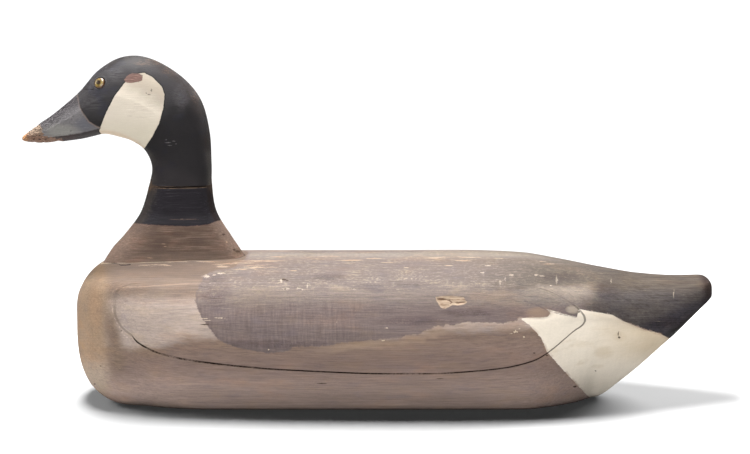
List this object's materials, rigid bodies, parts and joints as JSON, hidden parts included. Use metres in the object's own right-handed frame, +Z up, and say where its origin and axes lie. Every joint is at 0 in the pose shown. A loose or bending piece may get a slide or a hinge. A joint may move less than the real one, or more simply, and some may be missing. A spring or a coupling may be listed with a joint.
{
  "type": "goose decoy",
  "caption": "Carved and painted wooden goose decoy: flat-bottomed glued-up body, plank neck and head on a seat, glass eyes; rests on its underside.",
  "frame": {"origin": "on the flat underside, below the middle of the decoy's box", "axes": "+Z up, -X the way the bill points, -Y the bird's left side"},
  "size_m": [0.663, 0.2378, 0.3328],
  "materials": {
    "painted_body": "worn matt grey-brown paint over wood, white rump, black tail",
    "painted_side": "worn matt grey-brown paint over wood, with a darker wing patch",
    "painted_neck": "worn matt brown paint over wood, black above",
    "painted_head": "worn satin black paint over wood, cream cheek patch, slate-grey bill",
    "eye_glass": "glossy glass, yellow iris with a brown pupil"
  },
  "bodies": {
    "root": {"body_center": "painted_body", "side_board_left": "painted_side", "side_board_right": "painted_side", "neck_base": "painted_neck", "head": "painted_head", "eye_left": "eye_glass", "eye_right": "eye_glass"}
  },
  "joints": []
}
